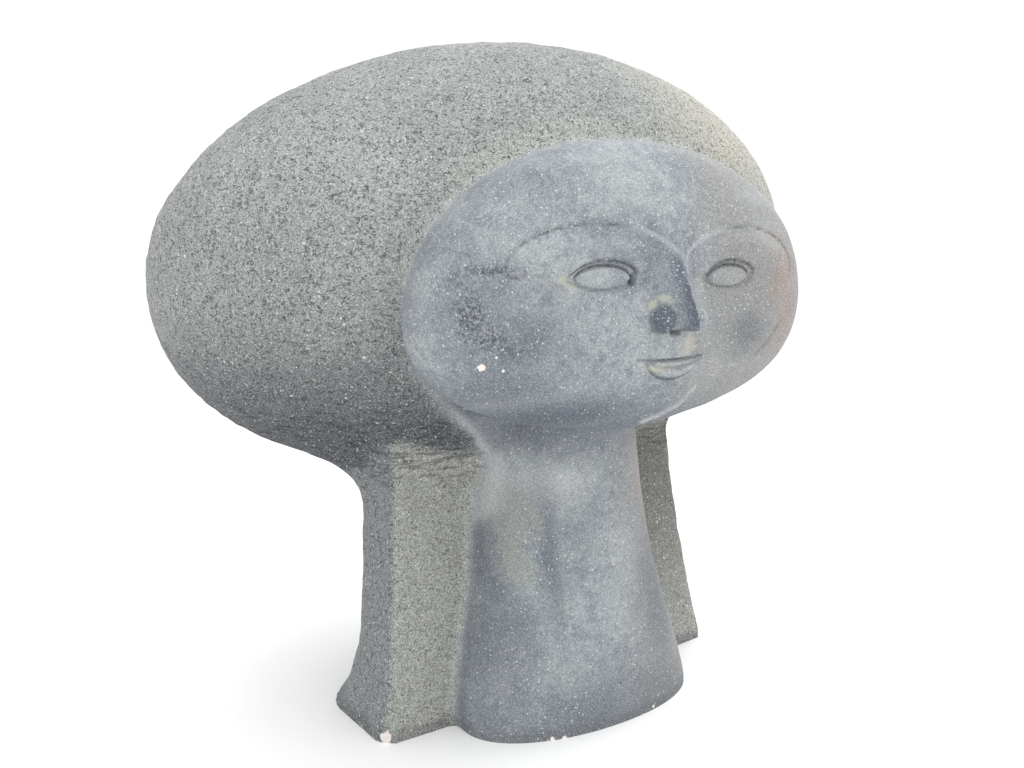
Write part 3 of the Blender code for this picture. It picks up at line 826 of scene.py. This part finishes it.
def finish_skin(mesh):
    """Carve the skin, give it its relief, note on each point the marks for its colours, and name them."""
    points = read_points(mesh)
    distance, outward = probe(points)
    points -= distance[:, None] * outward
    past_end, at_ridge = hair_end(points)
    hair_share = ease(0.5 + past_end / HAIR_EDGE)
    ridge = HAIR_END_RIDGE * hump(past_end - HAIR_END_WIDTH / 2, HAIR_END_WIDTH) * at_ridge
    relief = surface_relief(points * HEIGHT, hair_share) / HEIGHT * ease(points[:, 2] / FOOT_BAND_Z)
    points += (carving(points) + relief + ridge)[:, None] * outward
    mesh.vertices.foreach_set("co", points.ravel())
    x, y, z = points.T
    marks = {"hair_share": hair_share, "foot": ease(FOOT_DARK_REACH - z / FOOT_BAND_Z)}
    marks |= hair_marks(x, y, z, hair_share, past_end, at_ridge) | skin_marks(x, y, z, 1 - hair_share)
    for name, values in marks.items():
        add_attribute(mesh, name, values)
    return tuple(marks)


def stand(mesh):
    """Cut the skin flat at the ground, close it and bring it to size."""
    bm = bmesh.new()
    bm.from_mesh(mesh)
    everything = bm.verts[:] + bm.edges[:] + bm.faces[:]
    bmesh.ops.bisect_plane(bm, geom=everything, plane_co=(0, 0, 0), plane_no=(0, 0, -1), clear_outer=True)
    rim = [edge for edge in bm.edges if edge.is_boundary]
    bmesh.ops.edgeloop_fill(bm, edges=rim)
    bmesh.ops.triangulate(bm, faces=bm.faces[:])
    bmesh.ops.scale(bm, vec=(HEIGHT, HEIGHT, HEIGHT), verts=bm.verts[:])
    bmesh.ops.recalc_face_normals(bm, faces=bm.faces[:])
    bm.to_mesh(mesh)
    bm.free()


# Places of the outputs that aren't their node's first
OBJECT_PLACE = 3
NOISE_COLOUR = 1
VECTOR_LENGTH = 1
MIXED_COLOUR = 2
ATTRIBUTE_NUMBER = 2


class Value:
    """A number socket in ordinary arithmetic, which adds its Math nodes as it goes."""

    def __init__(self, clay, socket):
        self.clay = clay
        self.socket = socket

    def __add__(self, other):
        return self.clay.maths("ADD", self, other)

    def __sub__(self, other):
        return self.clay.maths("SUBTRACT", self, other)

    def __rsub__(self, other):
        return self.clay.maths("SUBTRACT", other, self)

    def __mul__(self, other):
        return self.clay.maths("MULTIPLY", self, other)

    __radd__ = __add__
    __rmul__ = __mul__


class Clay:
    """A material whose nodes are all added by one method."""

    def __init__(self, name):
        self.material = bpy.data.materials.new(name)
        self.material.use_nodes = True
        self.tree = self.material.node_tree
        self.shader = self.tree.nodes["Principled BSDF"]

    def node(self, kind, settings=None, output=0, **sockets):
        """Add a node, set it, fill its sockets by name, or by number as s0, and return one of its outputs."""
        made = self.tree.nodes.new(kind)
        for name, value in (settings or {}).items():
            setattr(made, name, value)
        for name, value in sockets.items():
            self.fill(made.inputs[int(name[1:]) if name[1:].isdigit() else name.replace("_", " ")], value)
        return Value(self, made.outputs[output])

    def fill(self, socket, value):
        if isinstance(value, Value):
            self.tree.links.new(value.socket, socket)
        else:
            socket.default_value = value

    def maths(self, operation, first, second):
        return self.node("ShaderNodeMath", {"operation": operation}, s0=first, s1=second)

    def between(self, value, low, high):
        """Smooth step of a value from 0 at low to 1 at high."""
        settings = {"interpolation_type": "SMOOTHSTEP"}
        return self.node("ShaderNodeMapRange", settings, Value=value, From_Min=low, From_Max=high)

    def under(self, value, low, high):
        """Smooth step of a value from 1 at low to 0 at high."""
        return 1 - self.between(value, low, high)

    def noise(self, place, size, detail, roughness):
        return self.node("ShaderNodeTexNoise", Vector=place, Scale=1 / size, Detail=detail, Roughness=roughness)

    def stretched(self, place, stretch):
        settings = {"vector_type": "POINT"}
        return self.node("ShaderNodeMapping", settings, Vector=place, Scale=stretch)

    def scattered(self, cells_from, place, cell, edge, patches, patch_edge):
        """Mask of the grains that lie in some of the cells."""
        cells = self.node("ShaderNodeTexVoronoi", {"feature": "F1"}, Vector=cells_from, Scale=1 / cell)
        return self.under(cells, *edge) * self.between(self.noise(place, *patches), *patch_edge)

    def blend(self, mask, under, over):
        """Colour under, with colour over it where the mask is 1."""
        settings = {"data_type": "RGBA", "blend_type": "MIX"}
        return self.node("ShaderNodeMix", settings, MIXED_COLOUR, s0=mask, s6=under, s7=over)

    def coated(self, colour, coats):
        """Colour under a row of coats, each a mask and its colour."""
        for mask, over in coats:
            colour = self.blend(mask, colour, over)
        return colour

    def attribute(self, name):
        return self.node("ShaderNodeAttribute", {"attribute_name": name}, ATTRIBUTE_NUMBER)


# Clay colours, as linear light
HAIR_PALE = (0.390, 0.405, 0.385, 1)
HAIR_DARK = (0.290, 0.306, 0.312, 1)
# Painted shade under the hair's overhang, with darker clay
HAIR_LOW_DARK_AND_SHADE = (0.078, 0.084, 0.096, 1)
# Painted light on the hair beside the face's near side
HAIR_LIT = (0.480, 0.495, 0.485, 1)
# Painted light on the hair's upper far side, in a creamier tint
HAIR_CREAM_LIT = (0.520, 0.500, 0.430, 1)
OLIVE = (0.405, 0.415, 0.370, 1)
SKIN_OLIVE = (0.310, 0.332, 0.312, 1)
# Painted shade on the panel's far front, with browner clay
PANEL_BROWN_AND_SHADE = (0.150, 0.145, 0.133, 1)
RUBBED_CLAY = (0.500, 0.515, 0.450, 1)
# Painted shade on the panel's two sides
PANEL_SIDE_SHADE = (0.240, 0.256, 0.266, 1)
SKIN_PALE = (0.378, 0.406, 0.418, 1)
SKIN_BLUE = (0.210, 0.236, 0.270, 1)
# Painted shade under the jaw, chin and neck, and the darker patches of the clay
SKIN_SHADE = (0.110, 0.125, 0.152, 1)
SKIN_LIGHT = (0.460, 0.485, 0.485, 1)
# Dark glaze of the cheek's blotch, also used as the painted shade on the nose
GLAZE_AND_SHADE = (0.085, 0.098, 0.135, 1)
WARM = (0.295, 0.290, 0.278, 1)
PINK = (0.335, 0.258, 0.230, 1)
CREAM = (0.470, 0.455, 0.360, 1)
# Painted highlight on the brow's rim and the chin's keel
RIM_HIGHLIGHT = (0.440, 0.462, 0.475, 1)
# Dark flecks, pits, cracks and streaks of the clay, and the painted shade in the carved lines
SOOT_AND_SHADE = (0.022, 0.025, 0.034, 1)
GROG = (0.640, 0.650, 0.640, 1)
BARE_CLAY = (0.800, 0.740, 0.700, 1)
FOOT_DARK = (0.120, 0.128, 0.138, 1)
BLACK = (0.0, 0.0, 0.0, 1)

# Noises of the clay: feature size in metres, detail and roughness, and how far some are stretched
CLOUD = (0.05, 3.0, 0.55)
MOTTLE = (0.009, 3.0, 0.6)
PATCH = (0.004, 4.0, 0.75)
GRAIN = (0.0008, 1.0, 0.6)
FLECK = (0.0017, 2.0, 0.7)
COARSE = (0.003, 3.0, 0.7)
COARSE_STRETCH = (0.7, 0.7, 1.3)
DASH = (0.0027, 2.0, 0.6)
DASH_STRETCH = (0.75, 0.75, 1.5)
DASH_PATCH = (0.0026, 1.0, 0.5)
DRAG = (0.0035, 2.0, 0.5)
DRAG_STRETCH = (0.3, 0.3, 1.8)
DRIFT_SIZE = 0.003
DRIFT_DETAIL = 1.0
DRIFT = (0.0025, 0.0025, 0.0025)

# Scattered grains: size of their cells, a grain's edge in its cell, the noise of the patches that hold them
# and those patches' edge
PITS = (0.0017, (0.15, 0.38), (0.0016, 0.0, 0.5), (0.58, 0.66))
SPECKS = (0.0021, (0.14, 0.3), (0.0014, 0.0, 0.5), (0.54, 0.64))
CHIPS = (0.0036, (0.12, 0.24), (0.006, 1.0, 0.5), (0.56, 0.66))

# Where each noise turns from one look to the other
TONE_SHARES = (0.3, 0.3, 0.4)
TONE_EDGE = (0.38, 0.62)
BROKEN_EDGE = (0.36, 0.6)
BLOTCH_GAIN = 2.6
BLOTCH_LESS = 0.55
BLOTCH_EDGE = (0.2, 0.6)
DARK_FLECK_EDGE = (0.5, 0.6)
PALE_FLECK_EDGE = (0.39, 0.46)
DARK_GRAIN_EDGE = (0.36, 0.62)
PALE_GRAIN_EDGE = (0.48, 0.72)
CRACK_EDGE = (0.0, 0.0016)
DASH_PATCH_EDGE = (0.5, 0.6)
STREAK_EDGE = (0.5, 0.66)
FRAY_BY_PATCH = 1.8
FRAY_BY_MOTTLE = 0.8
FRAYED_EDGE = (0.15, 0.8)
SOFT_FRAY = 0.45

# How well each mark's colour covers what is under it
# The coats on the hair beside the face and on its upper far side are painted light; those on the low hair, the
# panel's sides and its far part are painted shade
HAIR_COATS = (
    ("near_hair_lit", 0.3, HAIR_LIT), ("far_top_lit_cream", 0.8, HAIR_CREAM_LIT), ("low_hair_dark_and_shade", 0.9, HAIR_LOW_DARK_AND_SHADE),
    ("panel_side_shade", 0.85, PANEL_SIDE_SHADE), ("panel_front", 0.7, OLIVE), ("far_panel_brown_and_shade", 0.8, PANEL_BROWN_AND_SHADE),
    ("rubbed", 0.6, RUBBED_CLAY))
SOFT_SKIN_COATS = (("pale", 0.6, SKIN_LIGHT), ("pink", 0.75, PINK), ("shade", 0.9, SKIN_SHADE))
WARM_COVER = 0.7
OLIVE_COVER = 0.85
BLOTCH_COVER = 0.45
DARK_FLECK_COVER = 0.65
PALE_FLECK_COVER = 0.4
NOSE_SHADE_COVER = 0.88
SEAM_COVER = 0.85
FOOT_COVER = 0.5
STREAK_COVER = 0.5
CRACK_COVER = 0.65
CRACK_PANEL_LESS = 0.35
PIT_SOOT_COVER = 0.5
RIM_HIGHLIGHT_COVER = 0.85
GROOVE_COVER = 0.25
GROOVE_BROKEN_COVER = 0.5
CREAM_COVER = 0.6
SPECK_COVER = 0.85
CHIP_COVER = 0.85

# The same for grains that differ between the smooth skin and the rough hair, in that order
DARK_GRAIN_COVER = (0.26, 0.4)
PALE_GRAIN_COVER = (0.15, 0.23)
PIT_COVER = (0.25, 0.75)

# Sheen and bump
HAIR_ROUGHNESS = 0.96
SKIN_SMOOTHER = 0.12
GROG_SMOOTHER = 0.08
SPECULAR = 0.3
ROUGH_RELIEF = {"coarse": 0.8, "grain": 0.3, "cracks": -0.4, "pits": -0.4, "specks": 0.15, "chips": 0.3,
                "streaks": -0.5}
SMOOTH_RELIEF = {"grain": 0.1, "patch": 0.15, "specks": 0.05, "grooves": -0.3}
BUMP_STRENGTH = 0.8
BUMP_DISTANCE = 0.0009


def clay_noises(clay, place, rough, dragged):
    """The clay's noises by name, rough and dragged being the marks that some of them are kept to."""
    drift = clay.node("ShaderNodeTexNoise", None, NOISE_COLOUR, Vector=place, Scale=1 / DRIFT_SIZE,
                      Detail=DRIFT_DETAIL)
    warped = clay.node("ShaderNodeVectorMath", {"operation": "MULTIPLY_ADD"}, s0=drift, s1=DRIFT, s2=place)
    course = clay.noise(clay.stretched(place, DASH_STRETCH), *DASH) - 0.5
    cracked = clay.between(clay.noise(place, *DASH_PATCH), *DASH_PATCH_EDGE)
    streaks = clay.between(clay.noise(clay.stretched(place, DRAG_STRETCH), *DRAG), *STREAK_EDGE)
    noises = {
        "cloud": clay.noise(place, *CLOUD),
        "mottle": clay.noise(place, *MOTTLE),
        "patch": clay.noise(place, *PATCH),
        "grain": clay.noise(place, *GRAIN),
        "fleck": clay.noise(place, *FLECK),
        "coarse": clay.noise(clay.stretched(place, COARSE_STRETCH), *COARSE),
        "cracks": clay.under(course * course, *CRACK_EDGE) * cracked * rough,
        "streaks": streaks * dragged,
        "pits": clay.scattered(warped, place, *PITS),
        "specks": clay.scattered(place, place, *SPECKS),
        "chips": clay.scattered(warped, place, *CHIPS) * rough}
    noises["fray"] = (noises["patch"] - 0.5) * FRAY_BY_PATCH + (noises["mottle"] - 0.5) * FRAY_BY_MOTTLE
    return noises


def frayed(clay, mark, fray):
    """A mark broken up by the clay's mottling."""
    return clay.between(mark + fray * mark, *FRAYED_EDGE)


def base_colour(clay, mark, noises):
    """Colour of the hair and of the skin, with their marks."""
    patch, fleck, fray = (noises[name] for name in ("patch", "fleck", "fray"))
    shares = zip(TONE_SHARES, ("cloud", "mottle", "patch"))
    tone = clay.between(sum(noises[name] * share for share, name in shares), *TONE_EDGE)
    hair_colour = clay.coated(clay.blend(tone, HAIR_DARK, HAIR_PALE),
                              [(mark[name] * cover, over) for name, cover, over in HAIR_COATS])
    soft = [((mark[name] + fray * mark[name] * SOFT_FRAY) * cover, over) for name, cover, over in SOFT_SKIN_COATS]
    blotch = clay.between(mark["soot"] * (patch * BLOTCH_GAIN - BLOTCH_LESS), *BLOTCH_EDGE)
    dark_flecks = clay.between(fleck, *DARK_FLECK_EDGE) * mark["soot"]
    pale_flecks = clay.under(fleck, *PALE_FLECK_EDGE) * mark["soot"]
    skin_colour = clay.coated(clay.blend(tone, SKIN_BLUE, SKIN_PALE), [
        (mark["warm"] * WARM_COVER, WARM), *soft,
        (frayed(clay, mark["olive"], fray) * OLIVE_COVER, SKIN_OLIVE), (blotch * BLOTCH_COVER, GLAZE_AND_SHADE),
        (dark_flecks * DARK_FLECK_COVER, SOOT_AND_SHADE), (pale_flecks * PALE_FLECK_COVER, GROG),
        # Painted shade on the near side of the nose and its near wing
        (mark["nose_shade"] * NOSE_SHADE_COVER, GLAZE_AND_SHADE)])
    return clay.coated(skin_colour, [
        (mark["hair_share"], hair_colour), (mark["seam"] * SEAM_COVER, GROG), (mark["foot"] * FOOT_COVER, FOOT_DARK)])


def lost_flakes(clay, colour, place, fray):
    """Pale ragged breaks where flakes and grains are missing."""
    for centre, radius in WHITE_SPOTS:
        middle = [c * HEIGHT for c in centre]
        far = clay.node("ShaderNodeVectorMath", {"operation": "DISTANCE"}, VECTOR_LENGTH, s0=place, s1=middle)
        missing = clay.under(far * (1 / (radius * HEIGHT)) + fray * SPOT_FRAY, *SPOT_EDGE)
        colour = clay.blend(missing, colour, BARE_CLAY)
    return colour


def stoneware(mark_names):
    """Material of the whole head, which reads the marks noted on its points."""
    clay = Clay("grogged_stoneware")
    place = clay.node("ShaderNodeTexCoord", None, OBJECT_PLACE)
    mark = {name: clay.attribute(name) for name in mark_names}
    rough = mark["hair_share"]
    noises = clay_noises(clay, place, rough, mark["dragged"])
    fray = noises["fray"]

    def cover(on_skin, on_hair):
        return rough * (on_hair - on_skin) + on_skin

    dark_grain = clay.under(noises["grain"], *DARK_GRAIN_EDGE)
    pale_grain = clay.between(noises["grain"], *PALE_GRAIN_EDGE)
    broken = clay.between(noises["patch"], *BROKEN_EDGE)
    colour = clay.coated(base_colour(clay, mark, noises), [
        (dark_grain * cover(*DARK_GRAIN_COVER), BLACK),
        (pale_grain * cover(*PALE_GRAIN_COVER), GROG),
        (noises["streaks"] * STREAK_COVER, SOOT_AND_SHADE),
        (noises["cracks"] * (CRACK_COVER - mark["panel_front"] * CRACK_PANEL_LESS), SOOT_AND_SHADE),
        (noises["pits"] * (cover(*PIT_COVER) + mark["soot"] * PIT_SOOT_COVER), SOOT_AND_SHADE),
        # Painted highlight on the raised rims
        (mark["rim_highlights"] * RIM_HIGHLIGHT_COVER, RIM_HIGHLIGHT),
        # Painted shade in the carved lines
        (mark["grooves"] * (broken * GROOVE_BROKEN_COVER + GROOVE_COVER), SOOT_AND_SHADE),
        (frayed(clay, mark["cream"], fray) * CREAM_COVER, CREAM),
        (noises["specks"] * SPECK_COVER, GROG),
        (noises["chips"] * CHIP_COVER, GROG)])
    clay.fill(clay.shader.inputs["Base Color"], lost_flakes(clay, colour, place, fray))
    sheen = HAIR_ROUGHNESS - pale_grain * GROG_SMOOTHER - (1 - rough) * SKIN_SMOOTHER
    clay.fill(clay.shader.inputs["Roughness"], sheen)
    clay.fill(clay.shader.inputs["Specular IOR Level"], SPECULAR)

    heights = noises | {"grooves": mark["grooves"]}
    rough_height = sum(heights[name] * share for name, share in ROUGH_RELIEF.items())
    smooth_height = sum(heights[name] * share for name, share in SMOOTH_RELIEF.items())
    height = smooth_height * (1 - rough) + rough_height * rough
    bump = clay.node("ShaderNodeBump", Strength=BUMP_STRENGTH, Distance=BUMP_DISTANCE, Height=height)
    clay.fill(clay.shader.inputs["Normal"], bump)
    return clay.material


def head():
    """The whole sculpture as one detailed skin."""
    mesh = remeshed(rough_form(), FIRST_CELL)
    settle(mesh)
    mesh = remeshed(mesh, FORM_CELL)
    settle(mesh)
    halve_cells(mesh, (FACE_REFINED,))
    halve_cells(mesh, FEATURES_REFINED)
    mark_names = finish_skin(mesh)
    stand(mesh)
    mesh.name = "fired_head"
    mesh.materials.append(stoneware(mark_names))
    mesh.shade_smooth()
    mesh.set_sharp_from_angle(angle=SHARP_ANGLE)
    piece = bpy.data.objects.new("fired_head", mesh)
    bpy.context.scene.collection.objects.link(piece)
    return piece


# Camera, from the photograph: metres, degrees, and the focal length in pixels of a 1024-pixel-wide image
CAMERA_PLACE = (-0.352, -0.478, 0.265)
CAMERA_YAW = 34.97
CAMERA_PITCH = 7.82
CAMERA_ROLL = 0.21
FOCAL_PIXELS = 986.7
IMAGE_WIDTH = 1024
SENSOR_WIDTH = 36


def camera():
    yaw, pitch, roll = (math.radians(a) for a in (CAMERA_YAW, CAMERA_PITCH, CAMERA_ROLL))
    level = Vector((math.sin(yaw), math.cos(yaw), 0))
    right = Vector((math.cos(yaw), -math.sin(yaw), 0))
    ahead = math.cos(pitch) * level - math.sin(pitch) * Vector((0, 0, 1))
    above = math.sin(pitch) * level + math.cos(pitch) * Vector((0, 0, 1))
    side = math.cos(roll) * right + math.sin(roll) * above
    top = math.cos(roll) * above - math.sin(roll) * right
    seen = bpy.data.objects.new("camera", bpy.data.cameras.new("camera"))
    seen.matrix_world = Matrix.Translation(CAMERA_PLACE) @ Matrix((side, top, -ahead)).transposed().to_4x4()
    seen.data.sensor_width = SENSOR_WIDTH
    seen.data.lens = FOCAL_PIXELS / IMAGE_WIDTH * SENSOR_WIDTH
    bpy.context.scene.collection.objects.link(seen)
    bpy.context.scene.camera = seen


# Lights: name, place, size and watts
LIGHTS = (
    ("back_right", (1.3, 0.45, 1.1), 1.8, 22),
    ("above", (-0.2, -0.45, 1.65), 1.2, 9),
)
SKY_STRENGTH = 1.13
FLOOR_COLOUR = (0.94, 0.94, 0.94, 1)
FLOOR_ROUGHNESS = 0.9
FLOOR_HALF = 8
WHITE = (1, 1, 1, 1)


def studio():
    """A pale floor, a white surround and soft lights aimed at the head."""
    bm = bmesh.new()
    bmesh.ops.create_grid(bm, x_segments=1, y_segments=1, size=FLOOR_HALF)
    mesh = bpy.data.meshes.new("floor")
    bm.to_mesh(mesh)
    bm.free()
    ground = bpy.data.objects.new("floor", mesh)
    bpy.context.scene.collection.objects.link(ground)
    paper = bpy.data.materials.new("white_paper")
    paper.use_nodes = True
    paper.node_tree.nodes["Principled BSDF"].inputs["Base Color"].default_value = FLOOR_COLOUR
    paper.node_tree.nodes["Principled BSDF"].inputs["Roughness"].default_value = FLOOR_ROUGHNESS
    mesh.materials.append(paper)
    aim = Vector((0, 0, HEIGHT / 2))
    for name, place, size, watts in LIGHTS:
        lamp = bpy.data.lights.new(name, "AREA")
        lamp.size = size
        lamp.energy = watts
        holder = bpy.data.objects.new(name, lamp)
        holder.location = place
        holder.rotation_euler = (Vector(place) - aim).to_track_quat("Z", "Y").to_euler()
        bpy.context.scene.collection.objects.link(holder)
    world = bpy.data.worlds.new("studio")
    world.use_nodes = True
    world.node_tree.nodes["Background"].inputs["Color"].default_value = WHITE
    world.node_tree.nodes["Background"].inputs["Strength"].default_value = SKY_STRENGTH
    bpy.context.scene.world = world
    bpy.context.scene.view_settings.view_transform = "Standard"


piece = head()
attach(piece, "root")
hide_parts(NODE)
camera()
studio()
bpy.context.view_layer.update()
